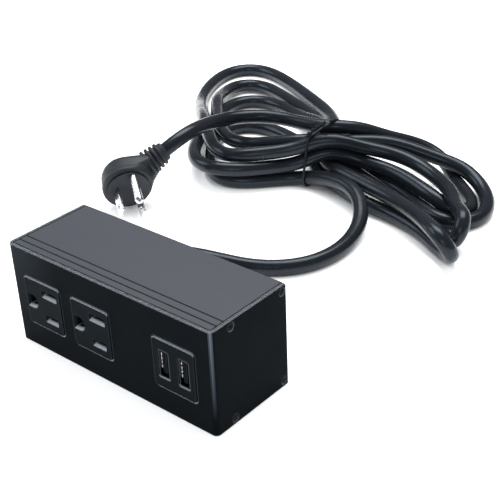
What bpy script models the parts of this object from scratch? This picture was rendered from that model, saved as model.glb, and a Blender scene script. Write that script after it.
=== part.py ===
"""Power strip: a box with two outlets and two USB ports, on a tied mains lead with its plug.

Metres, +Z up. The origin is the centre of the box's underside, +X runs along the box and the
sockets face -Y. Every object is one separate piece of the real thing.
"""
import math

import bmesh
import bpy
from mathutils import Matrix, Vector

for item in list(bpy.data.objects):
    bpy.data.objects.remove(item, do_unlink=True)

# Casing
LENGTH = 0.1214
DEPTH = 0.0464
HEIGHT = 0.0508
MODULE_PROUD = 0.0006
SHEET = 0.0014
SHEET_BEND = 0.0024
RIM_ROUND = 0.0004
END_CORNER = 0.0014
WALL = 0.0016
COVER_DROP = 0.0003
COVER_GAP = 0.0005
GAP = 0.0003
REAR_Y = (DEPTH + MODULE_PROUD) / 2
FACE_Y = -REAR_Y
FASCIA_Y = FACE_Y + MODULE_PROUD
GROOVES_Y = (-0.0134, -0.0174)
GROOVE_WIDTH = 0.0006
GROOVE_DEPTH = 0.0005

# End screws: their Y and Z places in each end
SCREW_Y = {"front": -0.0113, "rear": 0.0208}
SCREW_Z = {"bottom": 0.0031, "top": 0.0477}
SCREW_HEAD_R = 0.0016
SCREW_SHANK_R = 0.0010
SCREW_LENGTH = 0.0092
BOSS_R = 0.0022
BOSS_BORE_R = 0.0013

# Modules in the front: two outlets and the USB charger
MODULE_Z = 0.0250
MODULE_WIDTH = 0.0231
MODULE_HEIGHT = 0.0240
MODULE_CORNER = 0.0015
MODULE_WALL = 0.0012
MODULE_FACE = 0.0036
FLANGE_Y = FASCIA_Y + SHEET + GAP
FLANGE_THICK = 0.0012
FLANGE_MARGIN = 0.0011
OUTLET_X = (-0.0404, -0.0096)
OUTLET_DEPTH = 0.0250
USB_X = 0.0394
USB_DEPTH = 0.0143

# Socket face layout: two blade slots one above the other and a round-ended ground hole
SLOT_X = 0.0045
SLOT_PITCH = 0.0127
SLOT_GAP = 0.0019
NEUTRAL_SLOT = 0.0081
LINE_SLOT = 0.0067
GROUND_X = SLOT_X - 0.0119
GROUND_R = 0.00265
GROUND_STRAIGHT = 0.0025
LEAD_IN = 0.0009

# Contacts, shutter and its spring
LEAF = 0.0005
CONTACT_WIDTH = 0.0050
CONTACT_MOUTH_Y = -0.0172
CONTACT_REAR_Y = -0.0014
TAB_THICK = 0.0008
TAB_END_Y = 0.0050
REAR_COVER_Y = (-0.0008, 0.0012)
SHUTTER_THICK = 0.0016
SHUTTER_WIDTH = 0.0096
SHUTTER_HEIGHT = 0.0150
SHUTTER_TRAVEL = 0.0024
SHUTTER_Y = FACE_Y + MODULE_FACE + GAP + SHUTTER_THICK / 2
SPRING_COIL_R = 0.00062
SPRING_WIRE_R = 0.00014
SPRING_TURNS = 5
SPRING_Z = (-0.0037, 0.0004)

# USB ports and charger
PORT_OFFSET = 0.0056
PORT_SHELL = (0.0056, 0.0130)
PORT_WALL = 0.0003
PORT_DEPTH = 0.0136
TONGUE_OFFSET = -0.0006
TONGUE_THICK = 0.0019
BOARD = (0.0224, 0.0016, 0.0340)
BOARD_Y = FACE_Y + USB_DEPTH + GAP + BOARD[1] / 2

# Mains lead
CORD_R = 0.00415
WIRE_R = 0.0013
GLAND = (-0.0500, 0.0140)
GLAND_END_Y = 0.0455
BOX_LEAD = (
    (-0.0500, 0.0460, 0.0140), (-0.0499, 0.0505, 0.0137), (-0.0486, 0.0568, 0.0124),
    (-0.0455, 0.0630, 0.0109), (-0.0402, 0.0690, 0.0092), (-0.0330, 0.0742, 0.0074),
    (-0.0240, 0.0786, 0.0057), (-0.0150, 0.0820, 0.0046), (-0.0075, 0.0856, 0.0042),
    (-0.0002, 0.0904, 0.0042), (0.0064, 0.0966, 0.0042), (0.0114, 0.1050, 0.0042),
    (0.0138, 0.1150, 0.0042), (0.0141, 0.1240, 0.0044), (0.0135, 0.1340, 0.0052),
    (0.0118, 0.1430, 0.0068), (0.0100, 0.1498, 0.0086), (0.0092, 0.1554, 0.0096),
)
PLUG_LEAD = (
    (-0.1044, 0.1255, 0.0315), (-0.1029, 0.1288, 0.0335), (-0.1015, 0.1335, 0.0352),
    (-0.1012, 0.1430, 0.0358), (-0.1027, 0.1541, 0.0350), (-0.1046, 0.1653, 0.0336),
    (-0.1052, 0.1747, 0.0322), (-0.1040, 0.1842, 0.0310), (-0.1010, 0.1913, 0.0302),
    (-0.0966, 0.1957, 0.0298), (-0.0907, 0.1984, 0.0297), (-0.0780, 0.1998, 0.0297),
    (-0.0654, 0.1998, 0.0297),
)
ROUTE_SPACING = 0.0070

# Hank: outline of its two fans of loops, and the tied waist between them
HANK_HEIGHT = 0.0200
HANK_OUTLINE = (
    (-0.0480, 0.1803), (-0.0360, 0.1800), (-0.0230, 0.1785), (-0.0120, 0.1730), (-0.0055, 0.1630),
    (0.0000, 0.1577), (0.0100, 0.1573), (0.0180, 0.1570), (0.0330, 0.1560), (0.0470, 0.1500), (0.0600, 0.1425),
    (0.0680, 0.1460), (0.0690, 0.1620), (0.0680, 0.1850), (0.0640, 0.2080), (0.0500, 0.2290),
    (0.0270, 0.2430), (0.0020, 0.2590), (-0.0180, 0.2570), (-0.0320, 0.2400), (-0.0400, 0.2200),
    (-0.0480, 0.2056), (-0.0560, 0.2120), (-0.0640, 0.2380), (-0.0800, 0.2620), (-0.1200, 0.2890),
    (-0.1700, 0.3130), (-0.2030, 0.3160), (-0.2130, 0.2980), (-0.2080, 0.2700), (-0.1900, 0.2380),
    (-0.1680, 0.2080), (-0.1420, 0.1780), (-0.1300, 0.1580), (-0.1130, 0.1460), (-0.0860, 0.1420),
    (-0.0700, 0.1560), (-0.0590, 0.1760),
)
WAIST_X = (-0.0650, -0.0340)
WAIST_SECTION = (
    (0.1803, 0.0008), (0.2056, 0.0008), (0.2056, 0.0260), (0.2034, 0.0338), (0.1946, 0.0338),
    (0.1826, 0.0264), (0.1803, 0.0240),
)
GROOVE_SECTION = (
    (0.1830, 0.0021), (0.2030, 0.0021), (0.2053, 0.0042), (0.2053, 0.0255), (0.2028, 0.0334),
    (0.1950, 0.0334), (0.1830, 0.0258), (0.1807, 0.0234), (0.1807, 0.0042),
)
TIE_X = -0.0480
TIE_R = 0.00075
TIE_LOOP = (
    (0.1826, 0.0010), (0.1930, 0.0009), (0.2034, 0.0010), (0.2056, 0.0020), (0.2066, 0.0040),
    (0.2066, 0.0140), (0.2066, 0.0258), (0.2042, 0.0337), (0.2024, 0.0347), (0.1954, 0.0347),
    (0.1930, 0.0338), (0.1818, 0.0266), (0.1799, 0.0248), (0.1794, 0.0230), (0.1794, 0.0140),
    (0.1794, 0.0040), (0.1804, 0.0020),
)

# Plug: it stands on its rim, with its pins, ground side and cord along these directions
PLUG_CENTRE = Vector((-0.1099, 0.0960, 0.0141))
PIN_DIRECTION = Vector((0.784, -0.556, -0.277)).normalized()
GROUND_HINT = Vector((0.394, 0.101, 0.914))
CORD_DIRECTION = Vector((0.372, 0.794, 0.481)).normalized()
PLUG_BODY_R = 0.0143
PLUG_FACE_R = 0.0121
PLUG_FACE_THICK = 0.0012
PLUG_THICK = 0.0140
PLUG_AXIS_DEPTH = 0.0080
PLUG_REACH = 0.0309
BLADE_LINE = -0.0026
GROUND_PIN = BLADE_LINE + 0.0119
BLADE = (0.0015, 0.0063, 0.0167)
GROUND_PIN_R = 0.00238
GROUND_PIN_LENGTH = 0.0207


def collection(name):
    made = bpy.data.collections.new(name)
    bpy.context.scene.collection.children.link(made)
    return made


PARTS = collection("power_strip")
CUTTERS = collection("cutters")


def material(name, colour, roughness, metallic=0.0):
    made = bpy.data.materials.new(name)
    made.use_nodes = True
    shader = made.node_tree.nodes["Principled BSDF"]
    shader.inputs["Base Color"].default_value = (*colour, 1.0)
    shader.inputs["Roughness"].default_value = roughness
    shader.inputs["Metallic"].default_value = metallic
    return made


# Helpers that make one closed mesh each

def place(name, mesh, matrix, finish):
    """Make an object of a part, or a hidden cutter when it has no finish."""
    made = bpy.data.objects.new(name, mesh)
    made.matrix_world = matrix
    if finish:
        mesh.materials.append(finish)
        PARTS.objects.link(made)
    else:
        made.hide_render = True
        made.display_type = "WIRE"
        CUTTERS.objects.link(made)
    return made


def axes(x_axis, y_axis, origin):
    """Matrix whose local X and Y run along the given directions."""
    x_axis = Vector(x_axis)
    y_axis = Vector(y_axis)
    z_axis = x_axis.cross(y_axis)
    rows = [(x_axis[i], y_axis[i], z_axis[i], origin[i]) for i in range(3)]
    return Matrix((*rows, (0, 0, 0, 1)))


def along(direction, origin):
    """Matrix whose local Z runs along the given direction."""
    turn = Vector((0, 0, 1)).rotation_difference(Vector(direction))
    return Matrix.Translation(origin) @ turn.to_matrix().to_4x4()


def box(name, size, matrix, finish=None):
    """Box of the given size, centred on the matrix's origin."""
    shape = bmesh.new()
    bmesh.ops.create_cube(shape, size=1.0)
    bmesh.ops.scale(shape, vec=size, verts=shape.verts)
    mesh = bpy.data.meshes.new(name)
    shape.to_mesh(mesh)
    shape.free()
    return place(name, mesh, matrix, finish)


def box_between(name, low, high, finish=None):
    centre = [(a + b) / 2 for a, b in zip(low, high)]
    size = [b - a for a, b in zip(low, high)]
    return box(name, size, Matrix.Translation(centre), finish)


def cylinder(name, radius, length, matrix, finish=None, sides=24, tip_radius=None):
    """Cylinder or cone, centred, along the matrix's local Z."""
    shape = bmesh.new()
    tip = radius if tip_radius is None else tip_radius
    bmesh.ops.create_cone(shape, cap_ends=True, segments=sides, radius1=radius, radius2=tip, depth=length)
    mesh = bpy.data.meshes.new(name)
    shape.to_mesh(mesh)
    shape.free()
    mesh.shade_smooth()
    mesh.set_sharp_from_angle(angle=math.radians(40))
    return place(name, mesh, matrix, finish)


def turned(name, profile, matrix, finish=None, steps=24):
    """Profile of (radius, height) points, top to bottom down its outer side, turned about local Z."""
    shape = bmesh.new()
    points = [shape.verts.new((radius, 0, height)) for radius, height in profile]
    for first, second in zip(points, points[1:]):
        shape.edges.new((first, second))
    mesh = bpy.data.meshes.new(name)
    shape.to_mesh(mesh)
    shape.free()
    made = place(name, mesh, matrix, finish)
    screw = made.modifiers.new("turn", "SCREW")
    screw.steps = steps
    screw.render_steps = steps
    screw.use_merge_vertices = True
    screw.merge_threshold = 0.00001
    screw.use_smooth_shade = True
    return made


def curve_mesh(name, curve, matrix, finish):
    """Turn a curve into a welded mesh object at the same place."""
    holder = bpy.data.objects.new(name + "_curve", curve)
    bpy.context.scene.collection.objects.link(holder)
    holder.matrix_world = matrix
    bpy.context.view_layer.update()
    mesh = bpy.data.meshes.new_from_object(holder.evaluated_get(bpy.context.evaluated_depsgraph_get()))
    shape = bmesh.new()
    shape.from_mesh(mesh)
    bmesh.ops.remove_doubles(shape, verts=shape.verts, dist=0.000001)
    shape.to_mesh(mesh)
    shape.free()
    mesh.name = name
    made = place(name, mesh, holder.matrix_world, finish)
    bpy.data.objects.remove(holder, do_unlink=True)
    return made


def plate(name, outlines, thickness, matrix, finish=None):
    """Flat outline, with any inner outlines as holes, extruded along local Z about its middle."""
    curve = bpy.data.curves.new(name, "CURVE")
    curve.dimensions = "2D"
    curve.fill_mode = "BOTH"
    curve.extrude = thickness / 2
    for outline in outlines:
        spline = curve.splines.new("POLY")
        spline.points.add(len(outline) - 1)
        for point, (x, y) in zip(spline.points, outline):
            point.co = (x, y, 0, 1)
        spline.use_cyclic_u = True
    return curve_mesh(name, curve, matrix, finish)


def tube(name, points, radius, finish, closed=False):
    """Round tube along points, with flat ends."""
    curve = bpy.data.curves.new(name, "CURVE")
    curve.dimensions = "3D"
    curve.bevel_depth = radius
    curve.bevel_resolution = 2
    curve.use_fill_caps = True
    spline = curve.splines.new("POLY")
    spline.points.add(len(points) - 1)
    for point, place_at in zip(spline.points, points):
        point.co = (*place_at, 1)
    spline.use_cyclic_u = closed
    return curve_mesh(name, curve, Matrix(), finish)


def arc(centre, radius, start, end, steps):
    """Points of an arc, with angles in degrees."""
    angles = [math.radians(start + (end - start) * i / steps) for i in range(steps + 1)]
    return [(centre[0] + radius * math.cos(a), centre[1] + radius * math.sin(a)) for a in angles]


def rounded_rectangle(width, height, radius, steps=4):
    half_x = width / 2 - radius
    half_y = height / 2 - radius
    corners = ((half_x, half_y), (-half_x, half_y), (-half_x, -half_y), (half_x, -half_y))
    points = []
    for i, corner in enumerate(corners):
        points += arc(corner, radius, 90 * i, 90 * i + 90, steps)
    return points


def smooth_route(points, spacing, closed=False):
    """Even points along a smooth curve through the given ones (Catmull-Rom)."""
    given = [Vector(p) for p in points]
    if closed:
        ends = [given[-1], *given, given[0], given[1]]
    else:
        ends = [2 * given[0] - given[1], *given, 2 * given[-1] - given[-2]]
    fine = []
    for a, b, c, d in zip(ends, ends[1:], ends[2:], ends[3:]):
        for i in range(12):
            t = i / 12
            fine.append(0.5 * (2 * b + (c - a) * t + (2 * a - 5 * b + 4 * c - d) * t * t
                               + (3 * b - a - 3 * c + d) * t ** 3))
    if not closed:
        fine.append(given[-1])
    loop = [*fine, fine[0]] if closed else fine
    lengths = [0.0]
    for a, b in zip(loop, loop[1:]):
        lengths.append(lengths[-1] + (b - a).length)
    count = max(3, round(lengths[-1] / spacing))
    even = []
    at = 0
    for i in range(count if closed else count + 1):
        want = lengths[-1] * i / count
        while at < len(lengths) - 2 and lengths[at + 1] < want:
            at += 1
        span = lengths[at + 1] - lengths[at]
        even.append(loop[at].lerp(loop[at + 1], (want - lengths[at]) / span))
    return even


def boolean(target, other, operation):
    step = target.modifiers.new(operation.lower(), "BOOLEAN")
    step.operation = operation
    step.object = other


def cut(target, cutter):
    boolean(target, cutter, "DIFFERENCE")


def join(target, addition):
    boolean(target, addition, "UNION")


def bevel(target, width, segments=2):
    step = target.modifiers.new("bevel", "BEVEL")
    step.width = width
    step.segments = segments
    step.limit_method = "ANGLE"
    step.angle_limit = math.radians(40)


def facing_front(x, y, z):
    """Local X runs along the box, local Y up and local Z out of the front."""
    return axes((1, 0, 0), (0, 0, 1), (x, y, z))


def across(x, y=0.0, z=0.0):
    """Local X runs to the rear, local Y up and local Z along the box."""
    return axes((0, 1, 0), (0, 0, 1), (x, y, z))


# Finishes

BLACK_METAL = material("black_metal", (0.020, 0.024, 0.030), 0.42, 0.2)
COVER_METAL = material("cover_metal", (0.125, 0.135, 0.155), 0.48, 0.2)
SCREW_STEEL = material("screw_steel", (0.030, 0.032, 0.036), 0.35, 1.0)
BLACK_PLASTIC = material("black_plastic", (0.018, 0.021, 0.026), 0.40)
BRASS = material("brass", (0.72, 0.55, 0.25), 0.30, 1.0)
SPRING_STEEL = material("spring_steel", (0.55, 0.55, 0.57), 0.30, 1.0)
BOARD_GREEN = material("board_green", (0.03, 0.16, 0.07), 0.50)
NICKEL = material("nickel", (0.72, 0.72, 0.72), 0.22, 1.0)
FERRITE = material("ferrite", (0.45, 0.35, 0.08), 0.60)
SLEEVE = material("capacitor_sleeve", (0.03, 0.05, 0.14), 0.35)
LINE_PVC = material("line_pvc", (0.02, 0.02, 0.02), 0.40)
NEUTRAL_PVC = material("neutral_pvc", (0.75, 0.75, 0.72), 0.40)
GROUND_PVC = material("ground_pvc", (0.05, 0.33, 0.12), 0.40)
CORD_PVC = material("cord_pvc", (0.020, 0.023, 0.028), 0.28)
PLUG_PVC = material("plug_pvc", (0.035, 0.042, 0.052), 0.50)


# Casing

def channel_outline():
    """Section of the top, rear and bottom walls, with its rear corners and the grooves on top."""
    front = FASCIA_Y + SHEET + COVER_GAP
    top = HEIGHT - COVER_DROP
    outer_r = 0.0007
    points = [(front, 0.0)]
    points += arc((REAR_Y - outer_r, outer_r), outer_r, -90, 0, 4)
    points += arc((REAR_Y - outer_r, top - outer_r), outer_r, 0, 90, 4)
    for y in GROOVES_Y:
        points += [(y + GROOVE_WIDTH / 2, top), (y, top - GROOVE_DEPTH), (y - GROOVE_WIDTH / 2, top)]
    points += [(front, top), (front, top - WALL), (REAR_Y - WALL, top - WALL)]
    points += [(REAR_Y - WALL, WALL), (front, WALL)]
    return points


def main_extrusion():
    length = LENGTH - 2 * (SHEET + COVER_GAP)
    body = plate("main_extrusion", [channel_outline()], length + 0.002, across(0), COVER_METAL)
    for edge, y in SCREW_Y.items():
        for height, z in SCREW_Z.items():
            label = f"{edge}_{height}"
            join(body, cylinder("boss_" + label, BOSS_R, length + 0.004, across(0, y, z), sides=20))
    for edge, y in SCREW_Y.items():
        for height, z in SCREW_Z.items():
            label = f"{edge}_{height}"
            cut(body, cylinder("boss_bore_" + label, BOSS_BORE_R, 2 * length, across(0, y, z), sides=16))
    boolean(body, box("sawn_length", (length, 2 * DEPTH, 3 * HEIGHT), Matrix()), "INTERSECT")
    gland_hole = cylinder("gland_hole", 0.0063, 0.02, along((0, 1, 0), (GLAND[0], REAR_Y, GLAND[1])), sides=28)
    cut(body, gland_hole)


def screw_hole_profile():
    """Countersunk clearance hole, from outside the sheet inwards."""
    sink = SCREW_HEAD_R + 0.00035
    clear = BOSS_BORE_R + 0.0001
    return ((0, 0.0004), (sink + 0.0004, 0.0004), (clear, clear - sink), (clear, -0.0030), (0, -0.0030))


def front_fascia():
    """Front and both ends, bent from one sheet round the vertical front edges."""
    half = LENGTH / 2
    path = [(-half, REAR_Y)]
    path += arc((-half + SHEET_BEND, FASCIA_Y + SHEET_BEND), SHEET_BEND, 180, 270, 6)
    path += arc((half - SHEET_BEND, FASCIA_Y + SHEET_BEND), SHEET_BEND, 270, 360, 6)
    path.append((half, REAR_Y))
    shape = bmesh.new()
    low = [shape.verts.new((x, y, 0.0)) for x, y in path]
    high = [shape.verts.new((x, y, HEIGHT)) for x, y in path]
    for i in range(len(path) - 1):
        shape.faces.new((low[i], low[i + 1], high[i + 1], high[i]))
    mesh = bpy.data.meshes.new("front_fascia")
    shape.to_mesh(mesh)
    shape.free()
    fascia = place("front_fascia", mesh, Matrix(), BLACK_METAL)
    sheet = fascia.modifiers.new("sheet", "SOLIDIFY")
    sheet.thickness = SHEET
    sheet.offset = -1
    bevel(fascia, RIM_ROUND, 2)
    rear = REAR_Y - END_CORNER
    trim = [(rear - 0.0004, HEIGHT + 0.002), *arc((rear, HEIGHT - END_CORNER), END_CORNER, 84, 6, 5),
            (REAR_Y + 0.002, HEIGHT - END_CORNER - 0.0004), (REAR_Y + 0.002, HEIGHT + 0.002)]
    cut(fascia, plate("end_corner_trim", [trim], 2 * LENGTH, across(0)))
    opening = rounded_rectangle(MODULE_WIDTH + 2 * GAP, MODULE_HEIGHT + 2 * GAP, MODULE_CORNER + GAP)
    for i, x in enumerate((*OUTLET_X, USB_X)):
        cut(fascia, plate(f"module_opening_{i}", [opening], 0.02, facing_front(x, FASCIA_Y, MODULE_Z)))
    for side in (-1, 1):
        for y in SCREW_Y.values():
            for z in SCREW_Z.values():
                where = along((side, 0, 0), (side * half, y, z))
                cut(fascia, turned(f"screw_hole_{side}_{y}_{z}", screw_hole_profile(), where, steps=20))


def end_screws():
    """Countersunk screws with a cross recess, two at each end's front and two at its rear."""
    head = 0.0001
    profile = ((0, 0), (SCREW_HEAD_R, 0), (SCREW_HEAD_R, -head),
               (SCREW_SHANK_R, -head - (SCREW_HEAD_R - SCREW_SHANK_R)),
               (SCREW_SHANK_R, -SCREW_LENGTH + 0.0008), (0.0004, -SCREW_LENGTH), (0, -SCREW_LENGTH))
    for label, side in (("left", -1), ("right", 1)):
        for edge, y in SCREW_Y.items():
            for height, z in SCREW_Z.items():
                name = f"end_screw_{label}_{edge}_{height}"
                where = along((side, 0, 0), (side * LENGTH / 2, y, z))
                screw = turned(name, profile, where, SCREW_STEEL, steps=20)
                for i, size in enumerate(((0.0019, 0.0004, 0.0012), (0.0004, 0.0019, 0.0012))):
                    cut(screw, box(f"{name}_recess_{i}", size, where))


# Modules

def module_shell(name, x, depth):
    """Box with an open rear, a rounded face and a flange that bears on the fascia's inner side."""
    outline = rounded_rectangle(MODULE_WIDTH, MODULE_HEIGHT, MODULE_CORNER)
    shell = plate(name, [outline], depth, facing_front(x, FACE_Y + depth / 2, MODULE_Z), BLACK_PLASTIC)
    bevel(shell, 0.0004, 2)
    flange_x = MODULE_WIDTH / 2 + FLANGE_MARGIN
    flange_z = MODULE_HEIGHT / 2 + FLANGE_MARGIN
    join(shell, box_between(name + "_flange", (x - flange_x, FLANGE_Y, MODULE_Z - flange_z),
                            (x + flange_x, FLANGE_Y + FLANGE_THICK, MODULE_Z + flange_z)))
    inner_x = MODULE_WIDTH / 2 - MODULE_WALL
    inner_z = MODULE_HEIGHT / 2 - MODULE_WALL
    cut(shell, box_between(name + "_hollow", (x - inner_x, FACE_Y + MODULE_FACE, MODULE_Z - inner_z),
                           (x + inner_x, FACE_Y + depth + 0.01, MODULE_Z + inner_z)))
    return shell


def flared_hole(target, name, outline, x, z):
    """Hole through a module's face with a sloped lead-in all round."""
    cut(target, plate(name, [outline], 0.012, facing_front(x, FACE_Y, z)))
    width = max(p[0] for p in outline) - min(p[0] for p in outline)
    height = max(p[1] for p in outline) - min(p[1] for p in outline)
    lead_in = plate(name + "_lead_in", [outline], 2 * LEAD_IN, facing_front(x, FACE_Y, z))
    for vertex in lead_in.data.vertices:
        if vertex.co.z > 0:
            vertex.co.x *= 1 + 4 * LEAD_IN / width
            vertex.co.y *= 1 + 4 * LEAD_IN / height
    cut(target, lead_in)


def ground_outline():
    """Straight-sided hole with its round end towards the slots, centred on the pin."""
    points = arc((0, 0), GROUND_R, -90, 90, 10)
    return [*points, (-GROUND_STRAIGHT, GROUND_R), (-GROUND_STRAIGHT, -GROUND_R)]


def slot_outline(length):
    return rounded_rectangle(length, SLOT_GAP, 0.0002, 1)


def contact(name, x, z, gap):
    """Two leaves that grip a pin from above and below, with a tab out of the rear cover."""
    inner = gap / 2
    outer = inner + LEAF
    tab = TAB_THICK / 2
    bridge = CONTACT_REAR_Y - LEAF
    section = ((CONTACT_MOUTH_Y, inner), (bridge, inner), (bridge, -inner), (CONTACT_MOUTH_Y, -inner),
               (CONTACT_MOUTH_Y, -outer), (CONTACT_REAR_Y, -outer), (CONTACT_REAR_Y, -tab),
               (TAB_END_Y, -tab), (TAB_END_Y, tab), (CONTACT_REAR_Y, tab), (CONTACT_REAR_Y, outer),
               (CONTACT_MOUTH_Y, outer))
    plate(name, [section], CONTACT_WIDTH, across(x, 0, z), BRASS)


def shutter(name, x):
    """Plate that covers both slots and slides up until its window and lower edge clear them."""
    middle = Vector((x, SHUTTER_Y, MODULE_Z))
    made = box(name, (SHUTTER_WIDTH, SHUTTER_THICK, SHUTTER_HEIGHT), Matrix.Translation(middle), BLACK_PLASTIC)
    window_z = SLOT_PITCH / 2 - SHUTTER_TRAVEL
    window = Matrix.Translation(middle + Vector((0, 0, window_z)))
    cut(made, box(name + "_window", (0.0088, 0.01, 0.0025), window))
    pocket = Matrix.Translation(middle + Vector((0, 0, -0.0013)))
    cut(made, box(name + "_spring_pocket", (0.0030, 0.01, 0.0058), pocket))


def shutter_spring(name, x):
    """Small coil spring between the body's post and the lower end of the shutter's pocket."""
    low, high = SPRING_Z
    steps = 8 * SPRING_TURNS
    points = []
    for i in range(steps + 1):
        angle = 2 * math.pi * i / 8
        points.append((x + SPRING_COIL_R * math.cos(angle), SHUTTER_Y + SPRING_COIL_R * math.sin(angle),
                       MODULE_Z + low + (high - low) * i / steps))
    tube(name, points, SPRING_WIRE_R, SPRING_STEEL)


def outlet(number, x):
    name = f"outlet_{number}"
    slot_x = x + SLOT_X
    ground_x = x + GROUND_X
    upper = MODULE_Z + SLOT_PITCH / 2
    lower = MODULE_Z - SLOT_PITCH / 2
    body = module_shell(name + "_body", x, OUTLET_DEPTH)
    flared_hole(body, name + "_neutral_slot", slot_outline(NEUTRAL_SLOT), slot_x, upper)
    flared_hole(body, name + "_line_slot", slot_outline(LINE_SLOT), slot_x, lower)
    flared_hole(body, name + "_ground_hole", ground_outline(), ground_x, MODULE_Z)
    post = box_between(name + "_post", (slot_x - 0.0009, FACE_Y + MODULE_FACE - 0.0006, MODULE_Z + 0.0009),
                       (slot_x + 0.0009, SHUTTER_Y + 0.0006, MODULE_Z + 0.0014))
    join(body, post)
    inner_x = MODULE_WIDTH / 2 - MODULE_WALL - GAP
    inner_z = MODULE_HEIGHT / 2 - MODULE_WALL - GAP
    cover = box_between(name + "_rear_cover", (x - inner_x, REAR_COVER_Y[0], MODULE_Z - inner_z),
                        (x + inner_x, REAR_COVER_Y[1], MODULE_Z + inner_z), BLACK_PLASTIC)
    pins = (("neutral", slot_x, upper, SLOT_GAP), ("line", slot_x, lower, SLOT_GAP),
            ("ground", ground_x, MODULE_Z, 2 * GROUND_R - 0.0004))
    for label, pin_x, pin_z, gap in pins:
        contact(f"{name}_{label}_contact", pin_x, pin_z, gap)
        hole = Matrix.Translation((pin_x, REAR_COVER_Y[1], pin_z))
        cut(cover, box(f"{name}_{label}_tab_hole", (CONTACT_WIDTH + 2 * GAP, 0.01, TAB_THICK + 2 * GAP), hole))
    shutter(name + "_shutter", slot_x)
    shutter_spring(name + "_shutter_spring", slot_x)


def usb_module():
    bezel = module_shell("usb_bezel", USB_X, USB_DEPTH)
    opening = rounded_rectangle(PORT_SHELL[0] + 2 * GAP, PORT_SHELL[1] + 2 * GAP, 0.0006, 2)
    outer = rounded_rectangle(*PORT_SHELL, 0.0006, 3)
    inner = rounded_rectangle(PORT_SHELL[0] - 2 * PORT_WALL, PORT_SHELL[1] - 2 * PORT_WALL, 0.0003, 3)
    shell_front = FACE_Y + 0.0003
    for label, side in (("left", -1), ("right", 1)):
        x = USB_X + side * PORT_OFFSET
        cut(bezel, plate(f"usb_opening_{label}", [opening], 0.012, facing_front(x, FACE_Y, MODULE_Z)))
        where = facing_front(x, shell_front + PORT_DEPTH / 2, MODULE_Z)
        plate(f"usb_port_shell_{label}", [outer, inner], PORT_DEPTH, where, NICKEL)
        base_x = PORT_SHELL[0] / 2 - PORT_WALL - GAP
        base_z = PORT_SHELL[1] / 2 - PORT_WALL - GAP
        rear = shell_front + PORT_DEPTH
        base = box_between(f"usb_tongue_{label}", (x - base_x, rear - 0.0030, MODULE_Z - base_z),
                           (x + base_x, rear, MODULE_Z + base_z), BLACK_PLASTIC)
        low = (x + TONGUE_OFFSET - TONGUE_THICK / 2, shell_front + 0.0012, MODULE_Z - 0.0055)
        high = (x + TONGUE_OFFSET + TONGUE_THICK / 2, rear - 0.0010, MODULE_Z + 0.0055)
        join(base, box_between(f"usb_tongue_blade_{label}", low, high))
    box("usb_circuit_board", BOARD, Matrix.Translation((USB_X, BOARD_Y, MODULE_Z)), BOARD_GREEN)
    behind = BOARD_Y + BOARD[1] / 2 + GAP
    core = box_between("usb_transformer", (USB_X - 0.0075, behind, MODULE_Z - 0.0060),
                       (USB_X + 0.0045, behind + 0.0110, MODULE_Z + 0.0060), FERRITE)
    bevel(core, 0.0006, 1)
    join(core, box_between("transformer_winding", (USB_X - 0.0060, behind + 0.0022, MODULE_Z - 0.0078),
                           (USB_X + 0.0030, behind + 0.0092, MODULE_Z + 0.0078)))
    for label, x, z, radius, height in (("input", USB_X, 0.0370, 0.0040, 0.0130),
                                        ("output", USB_X + 0.0075, 0.0130, 0.0031, 0.0110)):
        profile = ((0, height), (radius - 0.0005, height), (radius, height - 0.0005), (radius, 0.0020),
                   (radius - 0.0004, 0.0016), (radius, 0.0012), (radius, 0), (0, 0))
        turned(f"usb_{label}_capacitor", profile, along((0, 1, 0), (x, behind, z)), SLEEVE, steps=20)


def wiring():
    """Three wires from the lead's end, past the outlets' tabs, to where each one is fixed."""
    start_y = REAR_Y - 0.0038
    run_y = TAB_END_Y + GAP + WIRE_R
    board_y = BOARD_Y + BOARD[1] / 2 + GAP
    upper = MODULE_Z + SLOT_PITCH / 2
    lower = MODULE_Z - SLOT_PITCH / 2
    gx, gz = GLAND
    first = OUTLET_X[0] + SLOT_X
    second = OUTLET_X[1] + SLOT_X
    line = ((gx + 0.0034, start_y, gz - 0.0018), (gx + 0.0042, 0.0165, gz - 0.0016), (gx + 0.0085, 0.0100, 0.0160),
            (first, run_y, lower), (-0.0200, run_y, lower), (second, run_y, lower), (0.0120, run_y, 0.0175),
            (0.0240, 0.0050, 0.0130), (0.0315, 0.0010, 0.0110), (0.0325, board_y, 0.0108))
    neutral = ((gx, start_y, gz + 0.0036), (gx + 0.0004, 0.0165, gz + 0.0060), (gx + 0.0050, 0.0105, 0.0280),
               (first, run_y, upper), (-0.0200, run_y, upper), (second, run_y, upper), (0.0120, run_y, 0.0325),
               (0.0220, 0.0050, 0.0370), (0.0300, 0.0010, 0.0385), (0.0310, board_y, 0.0386))
    ground = ((gx - 0.0034, start_y, gz - 0.0018), (gx - 0.0038, 0.0160, gz), (gx - 0.0030, 0.0105, 0.0200),
              (OUTLET_X[0] + GROUND_X, run_y, MODULE_Z), (-0.0340, run_y + 0.0006, MODULE_Z),
              (OUTLET_X[1] + GROUND_X, run_y, MODULE_Z), (-0.0120, run_y + 0.0006, MODULE_Z))
    for name, route, finish in (("line_wire", line, LINE_PVC), ("neutral_wire", neutral, NEUTRAL_PVC),
                                ("ground_wire", ground, GROUND_PVC)):
        tube(name, smooth_route(route, 0.0035), WIRE_R, finish)


# Mains lead

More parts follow.
